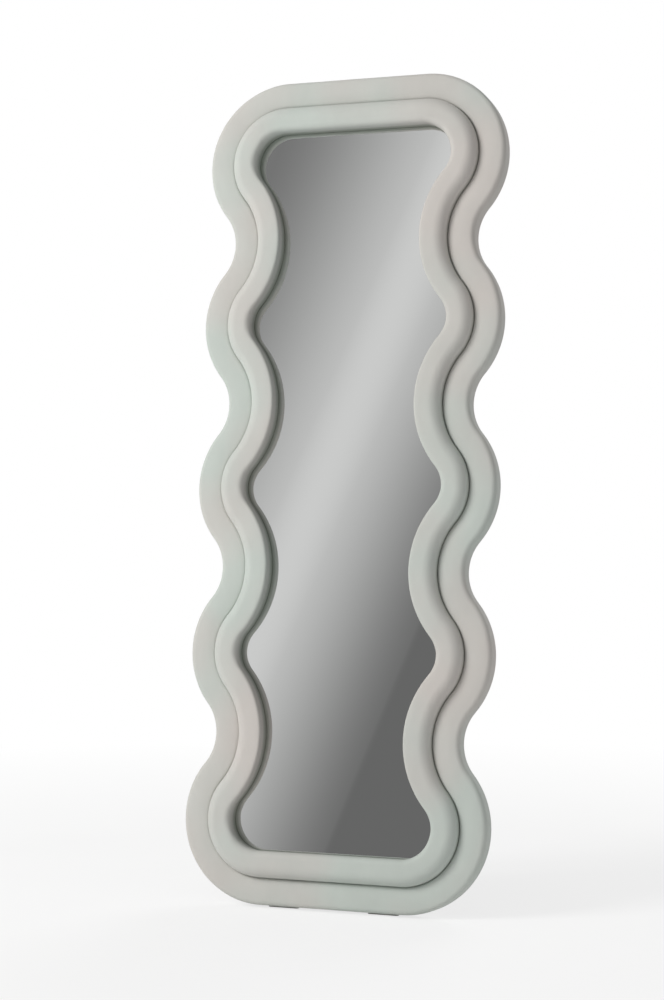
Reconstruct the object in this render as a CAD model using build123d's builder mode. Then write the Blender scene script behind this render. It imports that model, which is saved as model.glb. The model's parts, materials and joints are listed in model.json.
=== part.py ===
from build123d import *
import os
from math import cos, radians, sin

# A tall wavy floor mirror. Its padded velvet frame has two tiers, and it leans back on a
# U-shaped stand that folds flat. +Z is up, the glass faces -Y and the floor is at Z = 0.
#
# Most pieces are drawn on the frame's back plane, which leans with the mirror. There x runs
# to the right, y up the slope and z out of the glass. A depth is a height on that z, and an
# inset is a distance inward from the frame's outer edge.

# Whole mirror
FRAME_HEIGHT = 1600.0
FRAME_WIDTH = 605.0
LEAN_ANGLE = 5.8
FLOOR_GAP = 2.5  # floor to the frame's lower back edge

# Wavy outline: round bulges joined by hollow necks, each turning twice the wave angle
BULGE_RADIUS = 161.0
WAVE_ANGLE = 39.5

# Outer tier: four boards, foam over the front and round the edge, and its velvet
BOARD_INSET = 5.0
WINDOW_INSET = 89.0
BOARD_THICKNESS = 25.0
OUTER_TIER_DEPTH = 40.0
OUTER_TIER_CROWN = 3.0
CROWN_BLEND = 15.0  # to each side of the crown's middle
SEAM_INSET = 51.8
OUTER_EDGE_ROUNDING = 9.0
SEAM_ROUNDING = 5.0
HEM_ROUNDING = 3.0
BACK_HEM_INSET = 26.0
TUCKED_HEM_INSET = 64.0

# Inner tier: a raised padded roll on its own board, whose lip holds the glass
ROLL_DEPTH = 60.0
OPENING_INSET = 102.4
ROLL_OUTER_ROUNDING = 22.0
ROLL_INNER_ROUNDING = 18.0
ROLL_CLEARANCE = 0.2
ROLL_BOARD_THICKNESS = 12.0
ROLL_HEM_INSETS = (68.0, 95.0)
LIP_ROUNDING = 2.5

CLOTH_THICKNESS = 1.2

# Glass and what lies behind it
GLASS_INSET = 91.0
GLASS_THICKNESS = 4.0
GLASS_FRONT_DEPTH = 26.0
FILM_INSET = 92.0
FILM_THICKNESS = 0.4
BACK_PANEL_INSET = 12.0
BACK_PANEL_THICKNESS = 3.0
STAPLE_GAP = 0.8  # between the velvet's back hem and the back panel

# Joints between the boards
DOWEL_RADIUS = 4.0
DOWEL_LENGTH = 50.0
DOWEL_END_GAP = 1.0
BOARD_JOINT_ROW = 1.5
BOARD_DOWEL_INSETS = (26.0, 70.0)

# Cross rail that carries the stand, between the side boards at a pair of necks
RAIL_ROW = 0.5
RAIL_HEIGHT = 90.0
RAIL_THICKNESS = 22.0
RAIL_DOWEL_SPACING = 50.0

# Screws along the frame: rows count wave pitches from the middle
SCREW_ROWS = (-2, -1, -0.5, 0, 0.5, 1, 2)
END_SCREW_X = 95.0
ROLL_SCREW_INSET = 77.0
ROLL_SCREW_LENGTH = 36.0
PANEL_SCREW_INSET = 34.0
PANEL_SCREW_LENGTH = 16.0
SCREW_RADIUS = 2.0
SCREW_HEAD_RADIUS = 3.8
SCREW_HEAD_HEIGHT = 2.2
CROSS_SLOT_LENGTH = 3.6
CROSS_SLOT_WIDTH = 0.8
CROSS_SLOT_DEPTH = 1.1

# Staples that hold the velvet's back hem
STAPLE_INSET = 19.0
STAPLE_CROWN = 10.0
STAPLE_LEG = 8.0
STAPLE_WIRE = 0.7
STAPLE_WIDTH = 1.2
STAPLES_PER_ARC = 3
STAPLE_SPREAD = 26.2  # degrees to each side of a bulge's middle
END_STAPLE_XS = (-105.0, -35.0, 35.0, 105.0)

# Rubber pads under the bottom edge
PAD_X = 100.0
PAD_LENGTH = 60.0
PAD_DEPTHS = (3.0, 15.0)
PAD_ROUNDING = 4.0

# Folding stand
LEG_ANGLE = 15.5  # from the vertical, when open
LEG_X = 105.0
TUBE_RADIUS = 8.0
TUBE_WALL = 1.5
TUBE_BEND_RADIUS = 30.0
PIVOT_DEPTH = -21.0
TUBE_TOP = 14.0  # tube end above the pivot
PLUG_CAP = 3.0
PLUG_CAP_ROUNDING = 1.0
PLUG_LENGTH = 8.0
FOOT_AXIS_HEIGHT = 10.5
FOOT_SLEEVE_RADIUS = 11.0
FOOT_SLEEVE_LENGTH = 38.0
FOOT_SLEEVE_X = 54.0
FOOT_SLEEVE_ROUNDING = 1.0

# Hinge brackets
SHEET_THICKNESS = 2.0
BRACKET_ENDS = (-34.0, 46.0)  # along the slope, from the pivot
BRACKET_SCREWS = (-24.0, 36.0)
BRACKET_CORNER = 5.0
EAR_RADIUS = 11.0
WASHER_THICKNESS = 0.8
WASHER_RADIUS = 7.5
WASHER_GAPS = (0.2, 0.1)  # to the tube and to the ear
BOLT_RADIUS = 3.0
PIVOT_PLAY = 0.05
BOLT_HEAD_FLATS = 10.0
BOLT_HEAD_HEIGHT = 4.0
NUT_HEIGHT = 5.0
BOLT_TIP = 1.5

# Hangers for a wall, near the top corners
HANGER_X = 245.0
HANGER_Y = 620.0
HANGER_WIDTH = 16.0
HANGER_LENGTH = 52.0
HANGER_SHEET = 1.2
HANGER_SCREWS = (-31.0, -43.0)  # along the slope, from the ring's axis
HANGER_SCREW_LENGTH = 14.0
RING_WIRE_RADIUS = 1.5
RING_PLAY = 0.05
RING_WIDTH = 25.0
RING_HEIGHT = 22.5
RING_TOP_ROUNDING = 3.0
RING_FOOT_ROUNDING = 12.4

SIDES = (-1, 1)

# Sizes that follow from the ones above
lean = radians(LEAN_ANGLE)
leg_lean = radians(LEG_ANGLE)
wave = radians(WAVE_ANGLE)
half_height = FRAME_HEIGHT / 2
half_width = FRAME_WIDTH / 2
half_cloth = CLOTH_THICKNESS / 2

wave_pitch = (half_height - BULGE_RADIUS) / 2
centre_distance = wave_pitch / (2 * sin(wave))
neck_radius = centre_distance - BULGE_RADIUS
bulge_x = half_width - BULGE_RADIUS
neck_x = bulge_x + centre_distance * cos(wave)
neck_half_width = neck_x - neck_radius

roll_board_depth = BOARD_THICKNESS + 2 * CLOTH_THICKNESS
roll_board_top = roll_board_depth + ROLL_BOARD_THICKNESS
glass_back_depth = GLASS_FRONT_DEPTH - GLASS_THICKNESS
film_back_depth = glass_back_depth - FILM_THICKNESS
board_joint_y = BOARD_JOINT_ROW * wave_pitch
end_height = half_height - board_joint_y
panel_front_depth = -CLOTH_THICKNESS - STAPLE_GAP
panel_back_depth = panel_front_depth - BACK_PANEL_THICKNESS
rail_y = RAIL_ROW * wave_pitch
rail_x = neck_half_width - WINDOW_INSET
rail_middle_depth = panel_front_depth + RAIL_THICKNESS / 2

# The mirror's place: the floor at Z = 0, and the whole box centred on the origin
panel_z = half_height * cos(lean) + FLOOR_GAP
pivot_z = panel_z + rail_y * cos(lean) + PIVOT_DEPTH * sin(lean)
leg_length = (pivot_z - FOOT_AXIS_HEIGHT) / cos(leg_lean)
roll_middle_inset = (SEAM_INSET + OPENING_INSET) / 2
front_reach = (half_height - roll_middle_inset) * sin(lean) + ROLL_DEPTH * cos(lean)
pivot_reach = rail_y * sin(lean) - PIVOT_DEPTH * cos(lean)
rear_reach = pivot_reach + leg_length * sin(leg_lean) + FOOT_SLEEVE_RADIUS
panel_y = (front_reach - rear_reach) / 2
pivot_y = panel_y + pivot_reach

up_slope = Vector(0, sin(lean), cos(lean))
out_of_glass = Vector(0, -cos(lean), sin(lean))
panel = Plane(origin=(0, panel_y, panel_z), x_dir=(1, 0, 0), z_dir=out_of_glass)
leg_plane = Plane(
    origin=(0, pivot_y, pivot_z), x_dir=(1, 0, 0), z_dir=(0, -cos(leg_lean), -sin(leg_lean))
)


def on_panel(x, y, depth):
    """Point of the room, given on the leaning back plane."""
    return panel.from_local_coords((x, y, depth))


def across_slope(y):
    """Plane square to the slope at a height: x to the right, y towards the back."""
    return Plane(origin=on_panel(0, y, 0), x_dir=(1, 0, 0), z_dir=up_slope)


def upright_at(x):
    """Plane square to the X axis: x up the slope, y out of the glass."""
    return Plane(origin=on_panel(x, 0, 0), x_dir=up_slope, z_dir=(1, 0, 0))


def wavy_face(inset):
    """Face inside the wavy outline, drawn inward from the frame's outer edge."""
    bulge = BULGE_RADIUS - inset
    neck = neck_radius + inset
    end = half_height - inset
    with BuildSketch() as face:
        with BuildLine():
            for row in (-1, 0, 1):
                CenterArc((bulge_x, row * wave_pitch), bulge, -WAVE_ANGLE, 2 * WAVE_ANGLE)
            for row in (-1.5, -0.5, 0.5, 1.5):
                CenterArc((neck_x, row * wave_pitch), neck, 180 - WAVE_ANGLE, 2 * WAVE_ANGLE)
            CenterArc((bulge_x, 2 * wave_pitch), bulge, -WAVE_ANGLE, 90 + WAVE_ANGLE)
            CenterArc((bulge_x, -2 * wave_pitch), bulge, -90, 90 + WAVE_ANGLE)
            Line((0, end), (bulge_x, end))
            Line((0, -end), (bulge_x, -end))
            mirror(about=Plane.YZ)
        make_face()
    return face.sketch


def frame_points(inset):
    """Fixing points at the bulges and necks of both sides, and at both ends."""
    points = []
    for side in SIDES:
        for row in SCREW_ROWS:
            edge_x = half_width if row == int(row) else neck_half_width
            points.append((side * (edge_x - inset), row * wave_pitch))
        for end in SIDES:
            points.append((side * END_SCREW_X, end * (half_height - inset)))
    return points


def rods(plane, centres, radius, length):
    """Round rods that stand half on each side of a plane."""
    with BuildPart() as bars:
        with BuildSketch(plane):
            with Locations(*centres):
                Circle(radius)
        extrude(amount=length / 2, both=True)
    return bars.part


def screw_blanks(plane, centres, length, countersunk=False):
    """Screws without drive slots, driven along the plane's normal from its surface."""
    on_surface = (Align.CENTER, Align.CENTER, Align.MIN)
    proud = (Align.CENTER, Align.CENTER, Align.MAX)
    with BuildPart(plane) as blanks:
        with Locations(*centres):
            Cylinder(SCREW_RADIUS, length, align=on_surface)
            if countersunk:
                Cone(SCREW_HEAD_RADIUS, SCREW_RADIUS, SCREW_HEAD_HEIGHT, align=on_surface)
            else:
                Cylinder(SCREW_HEAD_RADIUS, SCREW_HEAD_HEIGHT, align=proud)
    return blanks.part


def cross_slots(plane, centres):
    """Cutters for the crossed drive slots of screw heads that end on a plane."""
    with BuildPart() as slots:
        with BuildSketch(plane):
            with Locations(*centres):
                Rectangle(CROSS_SLOT_LENGTH, CROSS_SLOT_WIDTH)
                Rectangle(CROSS_SLOT_WIDTH, CROSS_SLOT_LENGTH)
        extrude(amount=CROSS_SLOT_DEPTH)
    return slots.part


def cloth_section(corners, radii):
    """Cross-section of one layer of velvet, drawn along its middle."""
    with BuildSketch() as cloth:
        with BuildLine():
            FilletPolyline(*corners, radius=radii)
            offset(amount=half_cloth)
        make_face()
    return cloth.sketch


def quarters():
    """The four stretches of the frame, as rectangles: width, height and the place of the middle."""
    middle_y = (half_height + board_joint_y) / 2
    return {
        "left": (half_width, 2 * board_joint_y, (-half_width / 2, 0)),
        "right": (half_width, 2 * board_joint_y, (half_width / 2, 0)),
        "top": (FRAME_WIDTH, end_height, (0, middle_y)),
        "bottom": (FRAME_WIDTH, end_height, (0, -middle_y)),
    }


def ring_quarter(ring, width, height, middle):
    """The stretch of a swept ring that lies in one of the four rectangles."""
    with BuildPart() as stretch:
        add(ring)
        with BuildSketch(panel):
            with Locations(middle):
                Rectangle(width, height)
        extrude(amount=ROLL_DEPTH, mode=Mode.INTERSECT)
    return stretch.part


def filling_section(corners, radii, cloth, insets, depths):
    """Cross-section of what fills the velvet between two insets and two depths."""
    width = insets[1] - insets[0]
    height = depths[1] - depths[0]
    with BuildSketch() as filling:
        with BuildLine():
            path = FilletPolyline(*corners, radius=radii)
            Line(path @ 1, path @ 0)
        make_face()
        add(cloth, mode=Mode.SUBTRACT)
        with Locations((insets[0], depths[0])):
            Rectangle(width, height, align=(Align.MIN, Align.MIN), mode=Mode.INTERSECT)
    return filling.sketch


# The swept rings follow the outer edge, and their sections stand on its lowest point
outer_edge = panel.from_local_coords(wavy_face(0).face().outer_wire())
section_plane = Plane(origin=on_panel(0, -half_height, 0), x_dir=up_slope, z_dir=(1, 0, 0))

# Velvet of the outer tier: from its back hem, round the side and front, to its tuck under the roll
outer_corners = [
    (BACK_HEM_INSET, -half_cloth),
    (half_cloth, -half_cloth),
    (half_cloth, OUTER_TIER_DEPTH - OUTER_TIER_CROWN - half_cloth),
    (SEAM_INSET / 2, OUTER_TIER_DEPTH - half_cloth),
    (SEAM_INSET - half_cloth, OUTER_TIER_DEPTH - OUTER_TIER_CROWN - half_cloth),
    (SEAM_INSET - half_cloth, BOARD_THICKNESS + half_cloth),
    (TUCKED_HEM_INSET, BOARD_THICKNESS + half_cloth),
]
crown_radius = CROWN_BLEND * SEAM_INSET / (2 * OUTER_TIER_CROWN)
outer_radii = [HEM_ROUNDING, OUTER_EDGE_ROUNDING, crown_radius, SEAM_ROUNDING, HEM_ROUNDING / 2]
outer_cloth = cloth_section(outer_corners, outer_radii)

with BuildPart() as outer_cover:
    with BuildSketch(section_plane):
        add(outer_cloth)
    sweep(path=outer_edge)

# Foam of the outer tier: a crowned layer on the boards' front, and a strip round their edge
front_depths = (BOARD_THICKNESS, OUTER_TIER_DEPTH)
outer_filling = filling_section(outer_corners, outer_radii, outer_cloth, (0, SEAM_INSET), front_depths)
edge_depths = (0, BOARD_THICKNESS)
edge_filling = filling_section(outer_corners, outer_radii, outer_cloth, (0, BOARD_INSET), edge_depths)

with BuildPart() as outer_foam_ring:
    with BuildSketch(section_plane):
        add(outer_filling)
    sweep(path=outer_edge)

with BuildPart() as edge_foam:
    with BuildSketch(section_plane):
        add(edge_filling)
    sweep(path=outer_edge)

# Velvet of the roll: from its hem at the seam, over the crown, to its hem under the lip
roll_hem_depth = BOARD_THICKNESS + CLOTH_THICKNESS + half_cloth
roll_flank = SEAM_INSET + ROLL_CLEARANCE + half_cloth
roll_corners = [
    (ROLL_HEM_INSETS[0], roll_hem_depth),
    (roll_flank, roll_hem_depth),
    (roll_flank, ROLL_DEPTH - half_cloth),
    (OPENING_INSET - half_cloth, ROLL_DEPTH - half_cloth),
    (OPENING_INSET - half_cloth, roll_hem_depth),
    (ROLL_HEM_INSETS[1], roll_hem_depth),
]
roll_radii = [LIP_ROUNDING, ROLL_OUTER_ROUNDING, ROLL_INNER_ROUNDING, LIP_ROUNDING]
roll_cloth = cloth_section(roll_corners, roll_radii)

with BuildPart() as inner_cover:
    with BuildSketch(section_plane):
        add(roll_cloth)
    sweep(path=outer_edge)

# Filling of the roll: its board, whose lip holds the glass, and crowned foam on the board
roll_insets = (SEAM_INSET, OPENING_INSET)
board_depths = (roll_board_depth, roll_board_top)
roll_board_filling = filling_section(roll_corners, roll_radii, roll_cloth, roll_insets, board_depths)
foam_depths = (roll_board_top, ROLL_DEPTH)
roll_foam_filling = filling_section(roll_corners, roll_radii, roll_cloth, roll_insets, foam_depths)

with BuildPart() as inner_foam_ring:
    with BuildSketch(section_plane):
        add(roll_foam_filling)
    sweep(path=outer_edge)

# Fasteners come before the boards that they hold, because they also cut their own holes
board_dowel_places = [
    (side * (neck_half_width - inset), -BOARD_THICKNESS / 2)
    for side in SIDES
    for inset in BOARD_DOWEL_INSETS
]
rail_dowel_places = [(rail_y + side * RAIL_DOWEL_SPACING / 2, rail_middle_depth) for side in SIDES]

with BuildPart() as frame_dowels:
    for end in SIDES:
        add(rods(across_slope(end * board_joint_y), board_dowel_places, DOWEL_RADIUS, DOWEL_LENGTH))

with BuildPart() as rail_dowels:
    for side in SIDES:
        add(rods(upright_at(side * rail_x), rail_dowel_places, DOWEL_RADIUS, DOWEL_LENGTH))

with BuildPart() as dowel_holes:
    hole_length = DOWEL_LENGTH + 2 * DOWEL_END_GAP
    for end in SIDES:
        add(rods(across_slope(end * board_joint_y), board_dowel_places, DOWEL_RADIUS, hole_length))
    for side in SIDES:
        add(rods(upright_at(side * rail_x), rail_dowel_places, DOWEL_RADIUS, hole_length))

roll_screw_places = frame_points(ROLL_SCREW_INSET)
roll_screw_blanks = screw_blanks(panel, roll_screw_places, ROLL_SCREW_LENGTH, countersunk=True)

panel_surface = panel.offset(panel_back_depth)
panel_screw_places = frame_points(PANEL_SCREW_INSET)
panel_screw_blanks = screw_blanks(panel_surface, panel_screw_places, PANEL_SCREW_LENGTH)

bracket_surface = panel.offset(panel_back_depth - SHEET_THICKNESS)
bracket_screw_places = [(side * LEG_X, rail_y + y) for side in SIDES for y in BRACKET_SCREWS]
bracket_screw_blanks = screw_blanks(bracket_surface, bracket_screw_places, PANEL_SCREW_LENGTH)

hanger_surface = panel.offset(panel_back_depth - HANGER_SHEET)
hanger_screw_places = [(side * HANGER_X, HANGER_Y + y) for side in SIDES for y in HANGER_SCREWS]
hanger_screw_blanks = screw_blanks(hanger_surface, hanger_screw_places, HANGER_SCREW_LENGTH)

with BuildPart() as roll_screws:
    add(roll_screw_blanks)
    add(cross_slots(panel, roll_screw_places), mode=Mode.SUBTRACT)

with BuildPart() as panel_screws:
    add(panel_screw_blanks)
    add(cross_slots(panel_surface.offset(-SCREW_HEAD_HEIGHT), panel_screw_places), mode=Mode.SUBTRACT)

with BuildPart() as bracket_screws:
    add(bracket_screw_blanks)
    head_surface = bracket_surface.offset(-SCREW_HEAD_HEIGHT)
    add(cross_slots(head_surface, bracket_screw_places), mode=Mode.SUBTRACT)

with BuildPart() as hanger_screws:
    add(hanger_screw_blanks)
    head_surface = hanger_surface.offset(-SCREW_HEAD_HEIGHT)
    add(cross_slots(head_surface, hanger_screw_places), mode=Mode.SUBTRACT)


def frame_board(width, height, middle):
    """One board of the outer tier: the part of the wavy ring inside a rectangle."""
    with BuildPart() as board:
        with BuildSketch(panel):
            add(wavy_face(BOARD_INSET))
            add(wavy_face(WINDOW_INSET), mode=Mode.SUBTRACT)
            with Locations(middle):
                Rectangle(width, height, mode=Mode.INTERSECT)
        extrude(amount=BOARD_THICKNESS)
        add(dowel_holes.part, mode=Mode.SUBTRACT)
        for blanks in (roll_screw_blanks, panel_screw_blanks, hanger_screw_blanks):
            add(blanks, mode=Mode.SUBTRACT)
    return board.part


frame_boards = {place: frame_board(*quarter) for place, quarter in quarters().items()}

with BuildPart() as roll_board:
    with BuildSketch(section_plane):
        add(roll_board_filling)
    sweep(path=outer_edge)
    add(roll_screw_blanks, mode=Mode.SUBTRACT)

# Glass, the film on its back, and the foam sheets that press it against the lip
with BuildPart() as mirror_glass:
    with BuildSketch(panel.offset(glass_back_depth)):
        add(wavy_face(GLASS_INSET))
    extrude(amount=GLASS_THICKNESS)

with BuildPart() as safety_film:
    with BuildSketch(panel.offset(film_back_depth)):
        add(wavy_face(FILM_INSET))
    extrude(amount=FILM_THICKNESS)


def packing_foam(side):
    """Foam sheet behind the glass, above or below the cross rail."""
    rail_edge = rail_y + side * RAIL_HEIGHT / 2
    with BuildPart() as sheet:
        with BuildSketch(panel.offset(panel_front_depth)):
            add(wavy_face(GLASS_INSET))
            with Locations((0, rail_edge + side * half_height)):
                Rectangle(FRAME_WIDTH, FRAME_HEIGHT, mode=Mode.INTERSECT)
        extrude(amount=film_back_depth - panel_front_depth)
    return sheet.part


upper_packing_foam = packing_foam(1)
lower_packing_foam = packing_foam(-1)

with BuildPart() as stand_rail:
    with BuildSketch(panel.offset(panel_front_depth)):
        with Locations((0, rail_y)):
            Rectangle(2 * rail_x, RAIL_HEIGHT)
    extrude(amount=RAIL_THICKNESS)
    add(dowel_holes.part, mode=Mode.SUBTRACT)
    add(bracket_screw_blanks, mode=Mode.SUBTRACT)

with BuildPart() as back_panel:
    with BuildSketch(panel.offset(panel_back_depth)):
        add(wavy_face(BACK_PANEL_INSET))
    extrude(amount=BACK_PANEL_THICKNESS)
    for blanks in (panel_screw_blanks, bracket_screw_blanks, hanger_screw_blanks):
        add(blanks, mode=Mode.SUBTRACT)

# Staples along the back hem of the outer velvet
staple_reach = BULGE_RADIUS - STAPLE_INSET
staple_places = []
for side in SIDES:
    for row in (-1, 0, 1):
        for step in range(STAPLES_PER_ARC):
            turn = STAPLE_SPREAD * (2 * step / (STAPLES_PER_ARC - 1) - 1)
            x = side * (bulge_x + staple_reach * cos(radians(turn)))
            y = row * wave_pitch + staple_reach * sin(radians(turn))
            staple_places.append(Location((x, y, 0), (0, 0, 90 + side * turn)))
    for row in (-1.5, -0.5, 0.5, 1.5):
        x = side * (neck_half_width - STAPLE_INSET)
        staple_places.append(Location((x, row * wave_pitch, 0), (0, 0, 90)))
for end in SIDES:
    for x in END_STAPLE_XS:
        staple_places.append(Location((x, end * (half_height - STAPLE_INSET), 0), (0, 0, 0)))

with BuildPart() as staple:
    upright = (Align.CENTER, Align.MIN)
    with BuildSketch(Plane.XZ):
        with Locations((0, -CLOTH_THICKNESS - STAPLE_WIRE)):
            Rectangle(STAPLE_CROWN, STAPLE_LEG, align=upright)
        with Locations((0, -CLOTH_THICKNESS)):
            Rectangle(STAPLE_CROWN - 2 * STAPLE_WIRE, STAPLE_LEG, align=upright, mode=Mode.SUBTRACT)
    extrude(amount=STAPLE_WIDTH / 2, both=True)

with BuildPart(panel) as cover_staples:
    with Locations(*staple_places):
        add(staple.part)

# Rubber pads, wedges that stand flat on the floor under the leaning bottom edge
pad_corners = [on_panel(0, -half_height, depth) for depth in PAD_DEPTHS]


def foot_pad(side):
    """One pad, under the flat stretch of the bottom edge."""
    with BuildPart() as pad:
        with BuildSketch(Plane.YZ.offset(side * PAD_X)):
            with BuildLine():
                Polyline(
                    (pad_corners[0].Y, pad_corners[0].Z),
                    (pad_corners[1].Y, pad_corners[1].Z),
                    (pad_corners[1].Y, 0),
                    (pad_corners[0].Y, 0),
                    close=True,
                )
            make_face()
        extrude(amount=PAD_LENGTH / 2, both=True)
        fillet(pad.edges().filter_by(Axis.Z), PAD_ROUNDING)
    return pad.part


left_foot_pad = foot_pad(-1)
right_foot_pad = foot_pad(1)

# Stand tube: two legs and a foot bar in one bent U
pivot_places = [(rail_y, PIVOT_DEPTH)]
bolt_hole = BOLT_RADIUS + PIVOT_PLAY
bolt_hole_length = 3 * TUBE_RADIUS

with BuildPart() as stand_tube:
    with BuildLine(leg_plane) as tube_path:
        FilletPolyline(
            (-LEG_X, TUBE_TOP), (-LEG_X, -leg_length), (LEG_X, -leg_length), (LEG_X, TUBE_TOP),
            radius=TUBE_BEND_RADIUS,
        )
    with BuildSketch(Plane(tube_path.line @ 0, z_dir=tube_path.line % 0)):
        Circle(TUBE_RADIUS)
        Circle(TUBE_RADIUS - TUBE_WALL, mode=Mode.SUBTRACT)
    sweep(path=tube_path.line)
    for side in SIDES:
        bolt_cutter = rods(upright_at(side * LEG_X), pivot_places, bolt_hole, bolt_hole_length)
        add(bolt_cutter, mode=Mode.SUBTRACT)

leg_end = leg_plane.from_local_coords((0, TUBE_TOP, 0))
leg_end_plane = Plane(origin=leg_end, x_dir=(1, 0, 0), z_dir=leg_plane.y_dir)


def tube_plug(side):
    """Plastic plug with a low cap, pressed into the top of a leg."""
    with BuildPart() as plug:
        with BuildSketch(leg_end_plane):
            with Locations((side * LEG_X, 0)):
                Circle(TUBE_RADIUS)
        extrude(amount=PLUG_CAP)
        fillet(plug.edges().group_by(Axis.Z)[-1], PLUG_CAP_ROUNDING)
        with BuildSketch(leg_end_plane):
            with Locations((side * LEG_X, 0)):
                Circle(TUBE_RADIUS - TUBE_WALL)
        extrude(amount=-PLUG_LENGTH)
    return plug.part


left_tube_plug = tube_plug(-1)
right_tube_plug = tube_plug(1)

foot_axis = leg_plane.from_local_coords((0, -leg_length, 0))


def foot_sleeve(side):
    """Rubber sleeve on the foot bar, flat where it meets the floor."""
    with BuildPart() as sleeve:
        with BuildSketch(Plane.YZ.offset(side * FOOT_SLEEVE_X)):
            with Locations((foot_axis.Y, foot_axis.Z)):
                Circle(FOOT_SLEEVE_RADIUS)
                Circle(TUBE_RADIUS, mode=Mode.SUBTRACT)
        extrude(amount=FOOT_SLEEVE_LENGTH / 2, both=True)
        rims = sleeve.edges().filter_by(GeomType.CIRCLE).group_by(SortBy.RADIUS)[-1]
        fillet(rims, FOOT_SLEEVE_ROUNDING)
        split(bisect_by=Plane.XY, keep=Keep.TOP)
    return sleeve.part


left_foot_sleeve = foot_sleeve(-1)
right_foot_sleeve = foot_sleeve(1)

# Hinge brackets: channels screwed to the rail through the back panel, with an ear on each side
ear_inside = TUBE_RADIUS + sum(WASHER_GAPS) + WASHER_THICKNESS
ear_outside = ear_inside + SHEET_THICKNESS


def hinge_bracket(side):
    """One channel. The top of the leg stops against its base when the stand is open."""
    middle = side * LEG_X
    with BuildPart() as bracket:
        with BuildSketch(panel_surface) as base:
            with Locations((middle, rail_y + (BRACKET_ENDS[0] + BRACKET_ENDS[1]) / 2)):
                Rectangle(2 * ear_outside, BRACKET_ENDS[1] - BRACKET_ENDS[0])
            fillet(base.vertices(), BRACKET_CORNER)
        extrude(amount=-SHEET_THICKNESS)
        for ear in SIDES:
            with BuildSketch(upright_at(middle + ear * ear_inside)):
                with Locations((rail_y, PIVOT_DEPTH)):
                    Circle(EAR_RADIUS)
                with Locations((rail_y, panel_back_depth)):
                    ear_height = panel_back_depth - PIVOT_DEPTH
                    Rectangle(2 * EAR_RADIUS, ear_height, align=(Align.CENTER, Align.MAX))
                with Locations((rail_y, PIVOT_DEPTH)):
                    Circle(bolt_hole, mode=Mode.SUBTRACT)
            extrude(amount=ear * SHEET_THICKNESS)
        add(bracket_screw_blanks, mode=Mode.SUBTRACT)
    return bracket.part


left_hinge_bracket = hinge_bracket(-1)
right_hinge_bracket = hinge_bracket(1)


def pivot_set(plane_x, shape_sketch, amount):
    """The same extruded shape on both hinges, mirrored about the middle."""
    with BuildPart() as pair:
        with BuildSketch(upright_at(plane_x)):
            with Locations((rail_y, PIVOT_DEPTH)):
                add(shape_sketch)
        extrude(amount=amount)
        mirror(about=Plane.YZ)
    return pair.part


def hexagon():
    """Outline of the bolt head and the nut."""
    with BuildSketch() as outline:
        RegularPolygon(BOLT_HEAD_FLATS / 2, 6, major_radius=False)
    return outline.sketch


def disc(radius, bore=0.0):
    """Round face, with a bore if it has one."""
    with BuildSketch() as outline:
        Circle(radius)
        if bore:
            Circle(bore, mode=Mode.SUBTRACT)
    return outline.sketch


bolt_start = LEG_X - ear_outside - NUT_HEIGHT - BOLT_TIP
bolt_end = LEG_X + ear_outside

with BuildPart() as pivot_bolts:
    add(pivot_set(bolt_start, disc(BOLT_RADIUS), bolt_end - bolt_start))
    add(pivot_set(bolt_end, hexagon(), BOLT_HEAD_HEIGHT))

with BuildPart() as pivot_nuts:
    add(pivot_set(LEG_X - ear_outside, hexagon(), -NUT_HEIGHT))
    add(pivot_set(LEG_X - ear_outside, disc(BOLT_RADIUS), -NUT_HEIGHT), mode=Mode.SUBTRACT)

washer_start = TUBE_RADIUS + WASHER_GAPS[0]
with BuildPart() as pivot_washers:
    for face in SIDES:
        washer_x = LEG_X + face * washer_start
        add(pivot_set(washer_x, disc(WASHER_RADIUS, bolt_hole), face * WASHER_THICKNESS))

# Wall hangers: a curled strap on each side, with a loose D-shaped ring in its curl
curl_inside = RING_WIRE_RADIUS + RING_PLAY
curl_outside = curl_inside + HANGER_SHEET
ring_axis_depth = panel_back_depth - curl_outside


def hanger_strap(side):
    """Strap of sheet metal, screwed through the back panel into a board, curled at its top."""
    with BuildPart() as strap:
        with BuildSketch(upright_at(side * HANGER_X)):
            with Locations((HANGER_Y, panel_back_depth)):
                Rectangle(HANGER_LENGTH, HANGER_SHEET, align=(Align.MAX, Align.MAX))
            with Locations((HANGER_Y, ring_axis_depth)):
                Circle(curl_outside)
                Circle(curl_inside, mode=Mode.SUBTRACT)
        extrude(amount=HANGER_WIDTH / 2, both=True)
        add(hanger_screw_blanks, mode=Mode.SUBTRACT)
    return strap.part


def hanger_ring(side):
    """Ring of round wire that hangs plumb from the strap's curl."""
    ring_top = on_panel(side * HANGER_X, HANGER_Y, ring_axis_depth)
    ring_plane = Plane(origin=ring_top, x_dir=(1, 0, 0), z_dir=(0, -1, 0))
    with BuildSketch() as outline:
        Rectangle(RING_WIDTH, RING_HEIGHT, align=(Align.CENTER, Align.MAX))
        fillet(outline.vertices().group_by(Axis.Y)[-1], RING_TOP_ROUNDING)
        fillet(outline.vertices().group_by(Axis.Y)[0], RING_FOOT_ROUNDING)
    wire_path = ring_plane.from_local_coords(outline.face().outer_wire())
    with BuildPart() as ring:
        with BuildSketch(Plane(origin=ring_plane.origin, x_dir=(0, 0, 1), z_dir=(1, 0, 0))):
            Circle(RING_WIRE_RADIUS)
        sweep(path=wire_path)
    return ring.part


left_hanger_strap = hanger_strap(-1)
right_hanger_strap = hanger_strap(1)
left_hanger_ring = hanger_ring(-1)
right_hanger_ring = hanger_ring(1)

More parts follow.
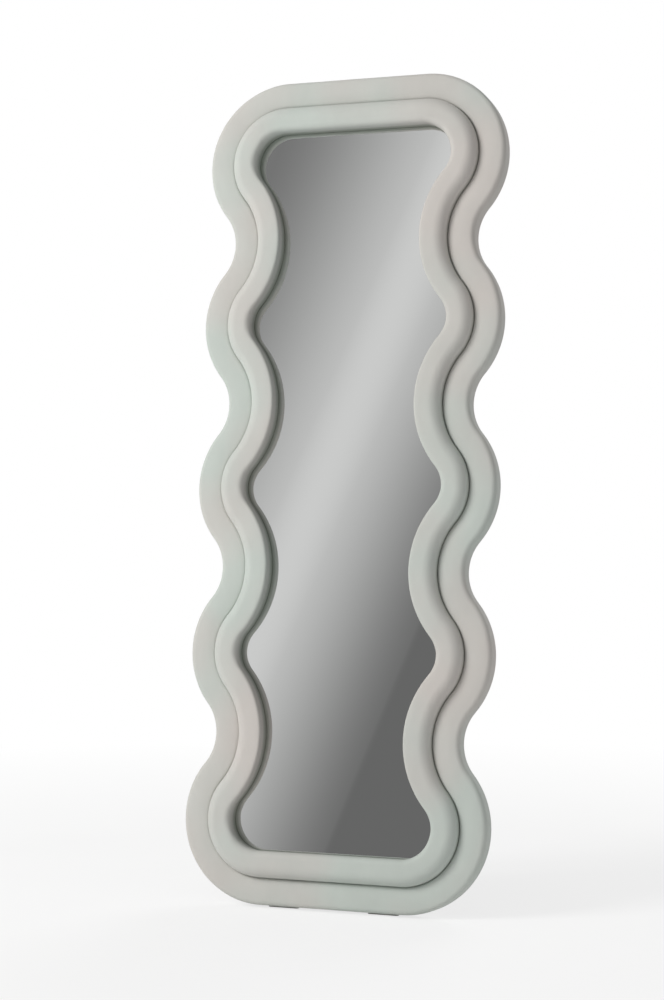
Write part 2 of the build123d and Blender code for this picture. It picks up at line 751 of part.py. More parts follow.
pieces = {
    "left_side_board": frame_boards["left"],
    "right_side_board": frame_boards["right"],
    "top_board": frame_boards["top"],
    "bottom_board": frame_boards["bottom"],
    "frame_dowels": frame_dowels.part,
    "edge_foam": edge_foam.part,
    "outer_cover": outer_cover.part,
    "cover_staples": cover_staples.part,
    "roll_board": roll_board.part,
    "inner_cover": inner_cover.part,
    "roll_screws": roll_screws.part,
    "mirror_glass": mirror_glass.part,
    "safety_film": safety_film.part,
    "upper_packing_foam": upper_packing_foam,
    "lower_packing_foam": lower_packing_foam,
    "stand_rail": stand_rail.part,
    "rail_dowels": rail_dowels.part,
    "back_panel": back_panel.part,
    "panel_screws": panel_screws.part,
    "left_foot_pad": left_foot_pad,
    "right_foot_pad": right_foot_pad,
    "left_hinge_bracket": left_hinge_bracket,
    "right_hinge_bracket": right_hinge_bracket,
    "bracket_screws": bracket_screws.part,
    "pivot_bolts": pivot_bolts.part,
    "pivot_nuts": pivot_nuts.part,
    "pivot_washers": pivot_washers.part,
    "stand_tube": stand_tube.part,
    "left_tube_plug": left_tube_plug,
    "right_tube_plug": right_tube_plug,
    "left_foot_sleeve": left_foot_sleeve,
    "right_foot_sleeve": right_foot_sleeve,
    "left_hanger_strap": left_hanger_strap,
    "right_hanger_strap": right_hanger_strap,
    "hanger_screws": hanger_screws.part,
    "left_hanger_ring": left_hanger_ring,
    "right_hanger_ring": right_hanger_ring,
}

for place, quarter in quarters().items():
    pieces[f"{place}_outer_foam"] = ring_quarter(outer_foam_ring.part, *quarter)
    pieces[f"{place}_inner_foam"] = ring_quarter(inner_foam_ring.part, *quarter)

os.makedirs("parts", exist_ok=True)
for name, piece in pieces.items():
    piece.label = name
    export_step(piece, f"parts/{name}.step")
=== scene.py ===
import json
from math import cos, pi, radians, sin, tan

import bpy
from mathutils import Matrix, Vector, noise


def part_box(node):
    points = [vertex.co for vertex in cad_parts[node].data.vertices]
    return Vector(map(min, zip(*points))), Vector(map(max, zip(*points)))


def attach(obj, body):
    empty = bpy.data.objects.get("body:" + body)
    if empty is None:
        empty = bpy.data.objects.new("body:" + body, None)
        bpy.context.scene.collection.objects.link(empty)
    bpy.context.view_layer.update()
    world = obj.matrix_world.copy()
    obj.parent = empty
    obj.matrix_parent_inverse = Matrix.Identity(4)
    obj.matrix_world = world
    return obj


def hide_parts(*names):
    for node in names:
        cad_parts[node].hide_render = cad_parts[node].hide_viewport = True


# The looks of the wavy padded floor mirror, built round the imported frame. Sizes are in metres.
# x, y and depth are places on the frame's leaning back plane, as in the part's source: x runs to
# the right, y up the slope and depth out of the glass. An inset is a distance in from the edge.

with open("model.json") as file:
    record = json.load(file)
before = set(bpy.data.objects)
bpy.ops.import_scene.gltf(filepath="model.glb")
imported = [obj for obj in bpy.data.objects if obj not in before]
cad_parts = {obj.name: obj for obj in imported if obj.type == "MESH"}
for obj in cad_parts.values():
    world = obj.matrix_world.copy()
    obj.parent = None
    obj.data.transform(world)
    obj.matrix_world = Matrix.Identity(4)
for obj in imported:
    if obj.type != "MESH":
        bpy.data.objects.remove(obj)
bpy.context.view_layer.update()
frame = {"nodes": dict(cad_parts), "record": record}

# Sizes shared with the part's source
FRAME_HEIGHT = 1.600
FRAME_WIDTH = 0.605
LEAN = radians(5.8)
BULGE_RADIUS = 0.161
WAVE_ANGLE = radians(39.5)
BOARD_THICKNESS = 0.025
OUTER_TIER_DEPTH = 0.040
OUTER_TIER_CROWN = 0.003
CROWN_BLEND = 0.015
SEAM_INSET = 0.0518
OUTER_EDGE_ROUNDING = 0.009
SEAM_ROUNDING = 0.005
HEM_ROUNDING = 0.003
BACK_HEM_INSET = 0.026
TUCKED_HEM_INSET = 0.064
ROLL_DEPTH = 0.060
OPENING_INSET = 0.1024
ROLL_OUTER_ROUNDING = 0.022
ROLL_INNER_ROUNDING = 0.011  # the part's foam is rounder here, and the drawn velvet sharper
ROLL_CLEARANCE = 0.0002
ROLL_HEM_INSETS = (0.068, 0.095)
LIP_ROUNDING = 0.0025
CLOTH = 0.0012
GLASS_MIDDLE_DEPTH = 0.024

# How finely the padded rings are drawn
RING_STEP = 0.005
SECTION_STEP = 0.0025

half_height = FRAME_HEIGHT / 2
wave_pitch = (half_height - BULGE_RADIUS) / 2
centre_distance = wave_pitch / (2 * sin(WAVE_ANGLE))
neck_radius = centre_distance - BULGE_RADIUS
bulge_x = FRAME_WIDTH / 2 - BULGE_RADIUS
neck_x = bulge_x + centre_distance * cos(WAVE_ANGLE)
neck_half_width = neck_x - neck_radius

# The leaning plane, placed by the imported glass
up_slope = Vector((0, sin(LEAN), cos(LEAN)))
out_of_glass = Vector((0, -cos(LEAN), sin(LEAN)))
glass_low, glass_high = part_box("mirror_glass")
panel_origin = (glass_low + glass_high) / 2 - GLASS_MIDDLE_DEPTH * out_of_glass


def on_panel(x, y, depth):
    """Point of the room for a place on the leaning plane."""
    return panel_origin + Vector((x, 0, 0)) + y * up_slope + depth * out_of_glass


# The outline as stations: a point on the outer edge and the direction straight in from it
def arc_stations(centre, radius, start, turn, inward):
    """Stations along an arc of the outer edge, its last end left out."""
    count = max(2, round(radius * abs(turn) / RING_STEP))
    found = []
    for i in range(count):
        angle = start + turn * i / count
        ray = Vector((cos(angle), sin(angle)))
        found.append((Vector(centre) + radius * ray, inward * ray))
    return found


def line_stations(start, end, inward):
    """Stations along a straight stretch of the outer edge, its last end left out."""
    start, end = Vector(start), Vector(end)
    count = round((end - start).length / RING_STEP)
    return [(start.lerp(end, i / count), Vector(inward)) for i in range(count)]


def outline_stations():
    """Stations clockwise round the whole outline, seen from the front."""
    top = 2 * wave_pitch
    right = line_stations((0, half_height), (bulge_x, half_height), (0, -1))
    right += arc_stations((bulge_x, top), BULGE_RADIUS, pi / 2, -pi / 2 - WAVE_ANGLE, -1)
    for row in (1.5, 0.5, -0.5, -1.5):
        right += arc_stations((neck_x, row * wave_pitch), neck_radius, pi - WAVE_ANGLE, 2 * WAVE_ANGLE, 1)
        if row > -1:
            centre = (bulge_x, (row - 0.5) * wave_pitch)
            right += arc_stations(centre, BULGE_RADIUS, WAVE_ANGLE, -2 * WAVE_ANGLE, -1)
    right += arc_stations((bulge_x, -top), BULGE_RADIUS, WAVE_ANGLE, -pi / 2 - WAVE_ANGLE, -1)
    right += line_stations((bulge_x, -half_height), (0, -half_height), (0, 1))
    left = [(Vector((-p.x, p.y)), Vector((-n.x, n.y))) for p, n in reversed(right)]
    return right + left[:-1]


def rounded_path(corners, radii):
    """Points along a polyline whose inner corners are rounded by tangent arcs."""
    corners = [Vector(c) for c in corners]
    points = [corners[0]]
    for before, corner, after, radius in zip(corners, corners[1:], corners[2:], radii):
        to_before = (before - corner).normalized()
        to_after = (after - corner).normalized()
        half_turn = to_before.angle(to_after) / 2
        reach = radius / tan(half_turn)
        centre = corner + (to_before + to_after).normalized() * radius / sin(half_turn)
        start = corner + reach * to_before - centre
        turn = start.angle_signed(corner + reach * to_after - centre)
        count = max(3, round(radius * abs(turn) / SECTION_STEP))
        points += [centre + Matrix.Rotation(-turn * i / count, 2) @ start for i in range(count + 1)]
    points.append(corners[-1])
    return evened(points)


def evened(points):
    """The same path with no step longer than the section step."""
    found = [points[0]]
    for a, b in zip(points, points[1:]):
        count = max(1, round((b - a).length / SECTION_STEP))
        found += [a.lerp(b, i / count) for i in range(1, count + 1)]
    return found


def left_of_path(points):
    """Unit directions square to a path at each point, to its left."""
    found = []
    for i in range(len(points)):
        along = (points[min(i + 1, len(points) - 1)] - points[max(i - 1, 0)]).normalized()
        found.append(Vector((-along.y, along.x)))
    return found


def offset_path(points, distance):
    """A path moved sideways, to its left, by a distance."""
    return [p + distance * left for p, left in zip(points, left_of_path(points))]


def ring_mesh(name, section, shape):
    """A ring swept round the outline. The closed section's points are (inset, depth) pairs, and
    shape gives each of them its last small move in or out at each station."""
    stations = outline_stations()
    count = len(section)
    verts = []
    for edge, inward in stations:
        for k, (inset, depth) in enumerate(section):
            inset, depth = shape(k, edge, inset, depth)
            place = edge + inset * inward
            verts.append(on_panel(place.x, place.y, depth))
    faces = []
    for s in range(len(stations)):
        t = (s + 1) % len(stations)
        for k in range(count):
            j = (k + 1) % count
            faces.append((s * count + k, s * count + j, t * count + j, t * count + k))
    mesh = bpy.data.meshes.new(name)
    mesh.from_pydata(verts, [], faces)
    mesh.polygons.foreach_set("use_smooth", [True] * len(faces))
    mesh.update()
    piece = bpy.data.objects.new(name, mesh)
    bpy.context.scene.collection.objects.link(piece)
    return piece


# Materials
def new_material(name):
    """A material with its Principled shader, ready for nodes."""
    material = bpy.data.materials.new(name)
    material.use_nodes = True
    shader = material.node_tree.nodes["Principled BSDF"]
    return material, material.node_tree, shader


def add_node(tree, kind, **values):
    """A node whose properties and inputs are set by name."""
    node = tree.nodes.new(kind)
    for key, value in values.items():
        if hasattr(node, key):
            setattr(node, key, value)
        else:
            node.inputs[key.replace("_", " ")].default_value = value
    return node


def object_noise(tree, scale, detail=3.0, roughness=0.5, stretch=(1, 1, 1)):
    """Noise fixed to the object, with its places stretched along the axes."""
    place = add_node(tree, "ShaderNodeTexCoord")
    mapping = add_node(tree, "ShaderNodeMapping")
    mapping.inputs["Scale"].default_value = stretch
    tree.links.new(place.outputs["Object"], mapping.inputs["Vector"])
    cloud = add_node(tree, "ShaderNodeTexNoise", Scale=scale, Detail=detail, Roughness=roughness)
    tree.links.new(mapping.outputs["Vector"], cloud.inputs["Vector"])
    return cloud


def ramp(tree, source, *stops):
    """Colour ramp over a source's first output."""
    node = add_node(tree, "ShaderNodeValToRGB")
    elements = node.color_ramp.elements
    while len(elements) < len(stops):
        elements.new(0.5)
    for element, (position, colour) in zip(elements, stops):
        element.position = position
        element.color = (*colour, 1)
    tree.links.new(source.outputs[0], node.inputs["Fac"])
    return node


def bump(tree, shader, height, strength, distance):
    """Bump on the shader from a height output, on top of any bump that is there."""
    node = add_node(tree, "ShaderNodeBump", Strength=strength, Distance=distance)
    if shader.inputs["Normal"].links:
        tree.links.new(shader.inputs["Normal"].links[0].from_socket, node.inputs["Normal"])
    tree.links.new(height, node.inputs["Height"])
    tree.links.new(node.outputs["Normal"], shader.inputs["Normal"])


def srgb(*channels):
    """Linear colour from 0 to 255 display values, all above the curve's straight foot."""
    return tuple(((c / 255 + 0.055) / 1.055) ** 2.4 for c in channels)


def calculated(tree, operation, a, b):
    """Math node on two inputs, each a socket or a number."""
    node = add_node(tree, "ShaderNodeMath", operation=operation)
    for socket, value in zip(node.inputs, (a, b)):
        if isinstance(value, (int, float)):
            socket.default_value = value
        else:
            tree.links.new(value, socket)
    return node.outputs[0]


def mixed(tree, share, first, second, blend_type="MIX"):
    """Colour mix of two inputs, each a socket or a colour, by a share that is a socket or 1."""
    node = add_node(tree, "ShaderNodeMix", data_type="RGBA", blend_type=blend_type)
    share_socket, first_socket, second_socket = node.inputs[0], node.inputs[6], node.inputs[7]
    for socket, value in zip((share_socket, first_socket, second_socket), (share, first, second)):
        if isinstance(value, (float, tuple)):
            socket.default_value = value
        else:
            tree.links.new(value, socket)
    return node.outputs[2]


def seen_rays(tree):
    """1 for rays straight from the camera or through clear things."""
    path = add_node(tree, "ShaderNodeLightPath")
    return calculated(tree, "MAXIMUM", path.outputs["Is Camera Ray"], path.outputs["Is Transmission Ray"])


def velvet():
    """Short-pile velvet: pale grey, faintly minty or warm in wide patches, with brushed marks."""
    material, tree, shader = new_material("velvet")
    patches = object_noise(tree, 3.2, detail=2.0, roughness=0.5)
    warm, plain, minty = srgb(211, 206, 201), srgb(208, 208, 203), srgb(203, 210, 204)
    colour = ramp(tree, patches, (0.38, warm), (0.5, plain), (0.62, minty))
    marks = object_noise(tree, 17.0, detail=4.0, roughness=0.6, stretch=(1, 1, 0.45))
    shade = ramp(tree, marks, (0.3, (0.95, 0.95, 0.95)), (0.7, (1, 1, 1)))
    brushed = mixed(tree, 1.0, colour.outputs["Color"], shade.outputs["Color"], "MULTIPLY")
    # Painted shade: the roll's velvet is painted darker where its per-point shade attribute is set,
    # standing in for the shade in the crease against the glass
    painted_hem_shade = add_node(tree, "ShaderNodeAttribute", attribute_name="painted_hem_shade")
    dark = ramp(tree, painted_hem_shade, (0.0, (1, 1, 1)), (1.0, (0.52, 0.55, 0.51)))
    darker = mixed(tree, 1.0, brushed, dark.outputs["Color"], "MULTIPLY")
    tree.links.new(darker, shader.inputs["Base Color"])
    shader.inputs["Roughness"].default_value = 0.9
    shader.inputs["Specular IOR Level"].default_value = 0.15
    shader.inputs["Sheen Weight"].default_value = 0.3
    shader.inputs["Sheen Roughness"].default_value = 0.4
    shader.inputs["Sheen Tint"].default_value = (0.95, 0.97, 0.94, 1)
    pile = object_noise(tree, 900.0, detail=2.0)
    bump(tree, shader, pile.outputs["Fac"], 0.22, 0.0006)
    strokes = object_noise(tree, 120.0, detail=3.0, stretch=(1, 1, 0.3))
    bump(tree, shader, strokes.outputs["Fac"], 0.1, 0.001)
    return material


def foam(name, dark, light):
    """Open-cell foam with fine pores."""
    material, tree, shader = new_material(name)
    cells = add_node(tree, "ShaderNodeTexVoronoi", Scale=700.0)
    place = add_node(tree, "ShaderNodeTexCoord")
    tree.links.new(place.outputs["Object"], cells.inputs["Vector"])
    colour = ramp(tree, cells, (0.0, dark), (0.6, light))
    tree.links.new(colour.outputs["Color"], shader.inputs["Base Color"])
    shader.inputs["Roughness"].default_value = 0.95
    bump(tree, shader, cells.outputs["Distance"], 0.5, 0.001)
    return material


def fibreboard():
    """Raw fibreboard with a fine, even fleck."""
    material, tree, shader = new_material("fibreboard")
    fleck = object_noise(tree, 420.0, detail=5.0, roughness=0.7)
    colour = ramp(tree, fleck, (0.3, srgb(150, 118, 82)), (0.7, srgb(186, 152, 112)))
    tree.links.new(colour.outputs["Color"], shader.inputs["Base Color"])
    shader.inputs["Roughness"].default_value = 0.85
    bump(tree, shader, fleck.outputs["Fac"], 0.2, 0.0005)
    return material


def beech():
    """Planed beech with its grain along X."""
    material, tree, shader = new_material("beech_wood")
    grain = object_noise(tree, 60.0, detail=6.0, roughness=0.6, stretch=(0.08, 1, 1))
    colour = ramp(tree, grain, (0.3, srgb(190, 148, 104)), (0.7, srgb(222, 186, 142)))
    tree.links.new(colour.outputs["Color"], shader.inputs["Base Color"])
    shader.inputs["Roughness"].default_value = 0.6
    bump(tree, shader, grain.outputs["Fac"], 0.15, 0.0004)
    return material


def hardboard():
    """Dark pressed hardboard: faint fibres and a dull, slightly uneven face."""
    material, tree, shader = new_material("hardboard")
    fibres = object_noise(tree, 160.0, detail=7.0, roughness=0.75, stretch=(1, 1, 0.5))
    colour = ramp(tree, fibres, (0.3, srgb(58, 48, 42)), (0.55, srgb(78, 66, 57)), (0.75, srgb(98, 84, 72)))
    tree.links.new(colour.outputs["Color"], shader.inputs["Base Color"])
    wear = object_noise(tree, 9.0, detail=3.0)
    gloss = add_node(tree, "ShaderNodeMapRange", To_Min=0.5, To_Max=0.68)
    tree.links.new(wear.outputs["Fac"], gloss.inputs["Value"])
    tree.links.new(gloss.outputs["Result"], shader.inputs["Roughness"])
    bump(tree, shader, fibres.outputs["Fac"], 0.2, 0.0004)
    return material


def metal(name, colour, roughness, grain_scale, grain_strength, metallic=1.0, stretch=(1, 1, 1)):
    """Bare, plated or coated metal with a fine grain and slightly uneven gloss."""
    material, tree, shader = new_material(name)
    clouds = object_noise(tree, 35.0, detail=3.0)
    dark = tuple(0.82 * c for c in colour)
    tint = ramp(tree, clouds, (0.35, dark), (0.65, colour))
    tree.links.new(tint.outputs["Color"], shader.inputs["Base Color"])
    shader.inputs["Metallic"].default_value = metallic
    gloss = add_node(tree, "ShaderNodeMapRange", To_Min=roughness - 0.06, To_Max=roughness + 0.08)
    tree.links.new(clouds.outputs["Fac"], gloss.inputs["Value"])
    tree.links.new(gloss.outputs["Result"], shader.inputs["Roughness"])
    grain = object_noise(tree, grain_scale, detail=2.0, stretch=stretch)
    bump(tree, shader, grain.outputs["Fac"], grain_strength, 0.0003)
    return material


def moulded(name, colour, roughness, grain_scale, grain_strength):
    """Moulded rubber or plastic with a fine surface grain."""
    material, tree, shader = new_material(name)
    clouds = object_noise(tree, 50.0, detail=4.0)
    lighter = tuple(min(1, 1.5 * c + 0.004) for c in colour)
    tint = ramp(tree, clouds, (0.3, colour), (0.7, lighter))
    tree.links.new(tint.outputs["Color"], shader.inputs["Base Color"])
    shader.inputs["Roughness"].default_value = roughness
    grain = object_noise(tree, grain_scale, detail=2.0)
    bump(tree, shader, grain.outputs["Fac"], grain_strength, 0.0003)
    return material


def silvered_glass():
    """Mirror: silver behind clear glass, greener and darker where its ground edge shows."""
    material, tree, shader = new_material("mirror_glass")
    place = add_node(tree, "ShaderNodeNewGeometry")
    facing = add_node(tree, "ShaderNodeVectorMath", operation="DOT_PRODUCT")
    facing.inputs[1].default_value = out_of_glass
    tree.links.new(place.outputs["True Normal"], facing.inputs[0])
    flat = add_node(tree, "ShaderNodeMath", operation="ABSOLUTE")
    tree.links.new(facing.outputs["Value"], flat.inputs[0])
    colour = ramp(tree, flat, (0.5, srgb(96, 132, 118)), (0.9, srgb(250, 251, 250)))
    tree.links.new(colour.outputs["Color"], shader.inputs["Base Color"])
    rough = add_node(tree, "ShaderNodeMapRange", From_Min=0.5, From_Max=0.9, To_Min=0.35, To_Max=0.0)
    tree.links.new(flat.outputs["Value"], rough.inputs["Value"])
    tree.links.new(rough.outputs["Result"], shader.inputs["Roughness"])
    shader.inputs["Metallic"].default_value = 1.0
    return material


slot_materials = {
    "velvet": velvet(),
    "padding_foam": foam("padding_foam", srgb(196, 188, 160), srgb(232, 226, 204)),
    "packing_foam": foam("packing_foam", srgb(214, 216, 218), srgb(240, 241, 242)),
    "fibreboard": fibreboard(),
    "beech_wood": beech(),
    "hardboard": hardboard(),
    "mirror_glass": silvered_glass(),
    "safety_film": moulded("safety_film", srgb(168, 176, 184), 0.45, 300.0, 0.1),
    "zinc_steel": metal("zinc_steel", srgb(196, 196, 194), 0.34, 500.0, 0.08),
    "black_steel": metal("black_steel", srgb(34, 34, 35), 0.46, 900.0, 0.3, metallic=0.0),
    "white_nylon": moulded("white_nylon", srgb(214, 213, 206), 0.5, 300.0, 0.05),
    "black_plastic": moulded("black_plastic", srgb(32, 32, 33), 0.45, 600.0, 0.12),
    "black_rubber": moulded("black_rubber", srgb(30, 30, 31), 0.8, 400.0, 0.2),
    "pale_rubber": moulded("pale_rubber", srgb(188, 187, 181), 0.7, 400.0, 0.15),
}

node_slots = {row["node"]: row["material_slot"] for row in frame["record"]["subparts"]}
SMOOTH_ANGLE = radians(32)
for node, piece in frame["nodes"].items():
    piece.data.materials.clear()
    piece.data.materials.append(slot_materials[node_slots[node]])
    piece.data.polygons.foreach_set("use_smooth", [True] * len(piece.data.polygons))
    piece.data.set_sharp_from_angle(angle=SMOOTH_ANGLE)


# The padded tiers
half_cloth = CLOTH / 2
outer_corners = [
    (BACK_HEM_INSET, -half_cloth),
    (half_cloth, -half_cloth),
    (half_cloth, OUTER_TIER_DEPTH - OUTER_TIER_CROWN - half_cloth),
    (SEAM_INSET / 2, OUTER_TIER_DEPTH - half_cloth),
    (SEAM_INSET - half_cloth, OUTER_TIER_DEPTH - OUTER_TIER_CROWN - half_cloth),
    (SEAM_INSET - half_cloth, BOARD_THICKNESS + half_cloth),
    (TUCKED_HEM_INSET, BOARD_THICKNESS + half_cloth),
]
crown_radius = CROWN_BLEND * SEAM_INSET / (2 * OUTER_TIER_CROWN)
outer_radii = [HEM_ROUNDING, OUTER_EDGE_ROUNDING, crown_radius, SEAM_ROUNDING, HEM_ROUNDING / 2]
roll_hem_depth = BOARD_THICKNESS + CLOTH + half_cloth
roll_flank = SEAM_INSET + ROLL_CLEARANCE + half_cloth
roll_corners = [
    (ROLL_HEM_INSETS[0], roll_hem_depth),
    (roll_flank, roll_hem_depth),
    (roll_flank, ROLL_DEPTH - half_cloth),
    (OPENING_INSET - half_cloth, ROLL_DEPTH - half_cloth),
    (OPENING_INSET - half_cloth, roll_hem_depth),
    (ROLL_HEM_INSETS[1], roll_hem_depth),
]
roll_radii = [LIP_ROUNDING, ROLL_OUTER_ROUNDING, ROLL_INNER_ROUNDING, LIP_ROUNDING]


def as_drawn(edge, inset, depth):
    """No change."""
    return inset, depth


def clamped(value):
    """The value, kept between 0 and 1."""
    return min(1, max(0, value))


def pulled_taut(edge, inset, depth):
    """The roll's inner corner, which the velvet pulls sharper where the roll juts into the glass.
    The sharper corner is a superellipse, and it eases out before the mirror's two ends."""
    corner_inset = OPENING_INSET - ROLL_INNER_ROUNDING
    corner_depth = ROLL_DEPTH - ROLL_INNER_ROUNDING
    out, up = inset - corner_inset, depth - corner_depth
    if out <= 0 or up <= 0:
        return inset, depth
    jut = clamped((FRAME_WIDTH / 2 - abs(edge.x)) / (FRAME_WIDTH / 2 - neck_half_width))
    at_side = clamped((half_height - TAUT_END_GAP - abs(edge.y)) / TAUT_END_EASE)
    power = 2 / (2 + TAUTNESS * jut * at_side)
    radius = (out * out + up * up) ** 0.5
    return corner_inset + radius * (out / radius) ** power, corner_depth + radius * (up / radius) ** power


def puffed(path_points, shown, swell, seed, pull):
    """Shape function that lets the stuffed velvet swell softly and unevenly. Only points inside
    the shown stretch of the section move, outward, so the cloth never sinks into its foam."""
    first, last = shown
    outward = left_of_path(path_points)
    reach = last - first

    def shape(k, edge, inset, depth):
        k = min(k, 2 * len(path_points) - 1 - k)
        inset, depth = pull(edge, inset, depth)
        if not first < k < last:
            return inset, depth
        ease = sin(pi * (k - first) / reach) ** 0.5
        place = Vector((edge.x, edge.y, (k - first) * SECTION_STEP + seed))
        wide = 0.5 + 0.5 * noise.noise(place * WIDE_PUFFS)
        fine = 0.5 + 0.5 * noise.noise(place * FINE_PUFFS)
        move = ease * swell * (WIDE_SHARE * wide + (1 - WIDE_SHARE) * fine)
        return inset + move * outward[k].x, depth + move * outward[k].y

    return shape


def velvet_ring(name, node, corners, radii, swell, seed, pull):
    """A cover of one layer of velvet, as a closed sheet with its real thickness."""
    middle = rounded_path(corners, radii)
    section = offset_path(middle, half_cloth) + offset_path(middle, -half_cloth)[::-1]
    hem = round(HEM_REACH / SECTION_STEP)
    shown = (hem, len(middle) - 1 - hem)
    piece = ring_mesh(name, [tuple(p) for p in section], puffed(middle, shown, swell, seed, pull))
    piece.data.materials.append(slot_materials["velvet"])
    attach(piece, "mirror")
    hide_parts(node)
    return piece


# The padding's unevenness: how many puffs to the metre, the wide ones' share, and the flat hems
WIDE_PUFFS = 11.0
FINE_PUFFS = 34.0
WIDE_SHARE = 0.7
HEM_REACH = 0.030
OUTER_SWELL = 0.0010
ROLL_SWELL = 0.0014
OUTER_SEED = 3.0
ROLL_SEED = 7.0

# How much the roll's corner is pulled sharp, and how far from the mirror's ends that eases out
TAUTNESS = 3.5
TAUT_END_GAP = 0.05
TAUT_END_EASE = 0.10

velvet_ring("outer_velvet", "outer_cover", outer_corners, outer_radii, OUTER_SWELL, OUTER_SEED, as_drawn)
inner_velvet = velvet_ring(
    "inner_velvet", "inner_cover", roll_corners, roll_radii, ROLL_SWELL, ROLL_SEED, pulled_taut
)

# Painted shade: the roll's velvet is painted darker in a narrow band down against the glass, standing in
# for the shade in that crease
FULL_SHADE_DEPTH = 0.034
UNSHADED_DEPTH = 0.046
painted_hem_shade = inner_velvet.data.attributes.new("painted_hem_shade", "FLOAT", "POINT")
for vertex, amount in zip(inner_velvet.data.vertices, painted_hem_shade.data):
    depth = (vertex.co - panel_origin).dot(out_of_glass)
    amount.value = clamped((UNSHADED_DEPTH - depth) / (UNSHADED_DEPTH - FULL_SHADE_DEPTH))

# Floor, light and camera
scene = bpy.context.scene
scene.view_settings.view_transform = "Standard"

FLOOR_SIZE = 40.0
FLOOR_COLOUR = srgb(243, 243, 243)
# Share of plain white in the floor as it is seen, near the mirror, and where it becomes all white
NEAR_WHITE = 0.72
FADE_START = 0.9
FADE_END = 2.6
# The floor as mirrors show it: mostly one plain grey, darker than the white outside them
MIRRORED_GREY = 0.45
MIRRORED_SHARE = 0.75


def floor():
    """Plain pale floor that keeps the mirror's shadow and fades to white farther out."""
    half = FLOOR_SIZE / 2
    corners = [(-half, -half, 0), (half, -half, 0), (half, half, 0), (-half, half, 0)]
    mesh = bpy.data.meshes.new("floor")
    mesh.from_pydata(corners, [], [(0, 1, 2, 3)])
    ground = bpy.data.objects.new("floor", mesh)
    scene.collection.objects.link(ground)
    material, tree, shader = new_material("floor")
    speckle = object_noise(tree, 3.0)
    paler = ramp(tree, speckle, (0.3, FLOOR_COLOUR), (0.7, srgb(246, 246, 246)))
    tree.links.new(paler.outputs["Color"], shader.inputs["Base Color"])
    shader.inputs["Roughness"].default_value = 0.9
    shader.inputs["Specular IOR Level"].default_value = 0.0
    place = add_node(tree, "ShaderNodeTexCoord")
    far = add_node(tree, "ShaderNodeVectorMath", operation="LENGTH")
    tree.links.new(place.outputs["Object"], far.inputs[0])
    white_share = add_node(tree, "ShaderNodeMapRange", From_Min=FADE_START, From_Max=FADE_END)
    white_share.inputs["To Min"].default_value = NEAR_WHITE
    tree.links.new(far.outputs["Value"], white_share.inputs["Value"])
    seen_share = calculated(tree, "MULTIPLY", white_share.outputs["Result"], seen_rays(tree))
    in_mirror = add_node(tree, "ShaderNodeLightPath").outputs["Is Glossy Ray"]
    mirrored_share = calculated(tree, "MULTIPLY", in_mirror, MIRRORED_SHARE)
    plain = add_node(tree, "ShaderNodeEmission")
    darker = calculated(tree, "MULTIPLY", in_mirror, 1 - MIRRORED_GREY)
    tree.links.new(calculated(tree, "SUBTRACT", 1.0, darker), plain.inputs["Strength"])
    blend = add_node(tree, "ShaderNodeMixShader")
    tree.links.new(calculated(tree, "MAXIMUM", seen_share, mirrored_share), blend.inputs["Fac"])
    tree.links.new(shader.outputs["BSDF"], blend.inputs[1])
    tree.links.new(plain.outputs["Emission"], blend.inputs[2])
    tree.links.new(blend.outputs["Shader"], tree.nodes["Material Output"].inputs["Surface"])
    mesh.materials.append(material)


floor()

# Camera, from the perspective fit of the outline: its place from the frame's middle, its turn and lens
CAMERA_OFFSET = Vector((1.3391, -3.7390, -0.0229))
CAMERA_TURN = 0.3524
LENS_MM = 74.1
SENSOR_MM = 36
camera_data = bpy.data.cameras.new("camera")
camera_data.lens = LENS_MM
camera_data.sensor_width = SENSOR_MM
camera = bpy.data.objects.new("camera", camera_data)
scene.collection.objects.link(camera)
camera.location = panel_origin + CAMERA_OFFSET
camera.rotation_euler = (pi / 2, 0, CAMERA_TURN)
scene.camera = camera


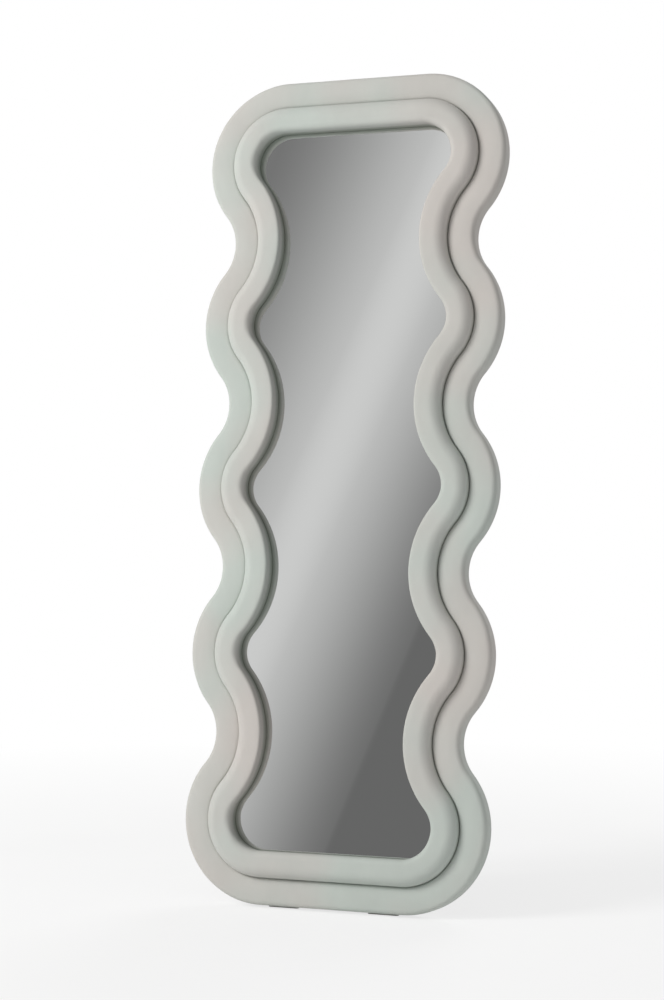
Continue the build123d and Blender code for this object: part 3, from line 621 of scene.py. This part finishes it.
def area_light(name, bearing, elevation, distance, size, power, colour):
    """Soft square lamp aimed at the mirror's middle and not seen in mirrors. Its bearing is
    counted in degrees from straight in front, towards the viewer's right."""
    data = bpy.data.lights.new(name, "AREA")
    data.shape = "SQUARE"
    data.size = size
    data.energy = power
    data.color = colour
    lamp = bpy.data.objects.new(name, data)
    scene.collection.objects.link(lamp)
    turn, rise = radians(bearing), radians(elevation)
    away = Vector((sin(turn) * cos(rise), -cos(turn) * cos(rise), sin(rise)))
    lamp.location = Vector((0, 0, FRAME_HEIGHT / 2)) + distance * away
    lamp.rotation_euler = (-away).to_track_quat("-Z", "Y").to_euler()
    lamp.visible_glossy = False


area_light("key", bearing=-42, elevation=27, distance=5.9, size=2.2, power=205, colour=(1.0, 0.995, 0.98))
area_light("back", bearing=172, elevation=30, distance=5.2, size=3.0, power=90, colour=(1.0, 1.0, 1.0))

# World: white to the camera, soft grey light on the object, and for mirrors a grey room with a
# pale band that leans across it. The band's axis gives, for a direction's parts to the right,
# back and up, how far across the band it looks: 0 at its left end and 1 at its right.
AMBIENT = 0.36
BAND_AXIS = (5.6, -2.57, -2.05)
BAND_OFFSET = 0.527
BAND_GREYS = ((0.0, 110), (0.2, 150), (0.42, 195), (0.52, 211), (0.62, 193), (0.8, 149), (0.97, 103))


def soft_world():
    """The world's light and what cameras and mirrors see of it."""
    world = bpy.data.worlds.new("world")
    scene.world = world
    world.use_nodes = True
    tree = world.node_tree
    background = tree.nodes["Background"]
    direction = add_node(tree, "ShaderNodeTexCoord")
    across = add_node(tree, "ShaderNodeVectorMath", operation="DOT_PRODUCT")
    across.inputs[1].default_value = BAND_AXIS
    tree.links.new(direction.outputs["Generated"], across.inputs[0])
    place = calculated(tree, "ADD", across.outputs["Value"], BAND_OFFSET)
    room = ramp(tree, place.node, *((where, srgb(grey, grey, grey)) for where, grey in BAND_GREYS))
    room.color_ramp.interpolation = "B_SPLINE"
    in_mirror = add_node(tree, "ShaderNodeLightPath").outputs["Is Glossy Ray"]
    ambient = (AMBIENT, AMBIENT, AMBIENT, 1)
    lit = mixed(tree, in_mirror, ambient, room.outputs["Color"])
    tree.links.new(mixed(tree, seen_rays(tree), lit, (1, 1, 1, 1)), background.inputs["Color"])
    background.inputs["Strength"].default_value = 1.0


soft_world()
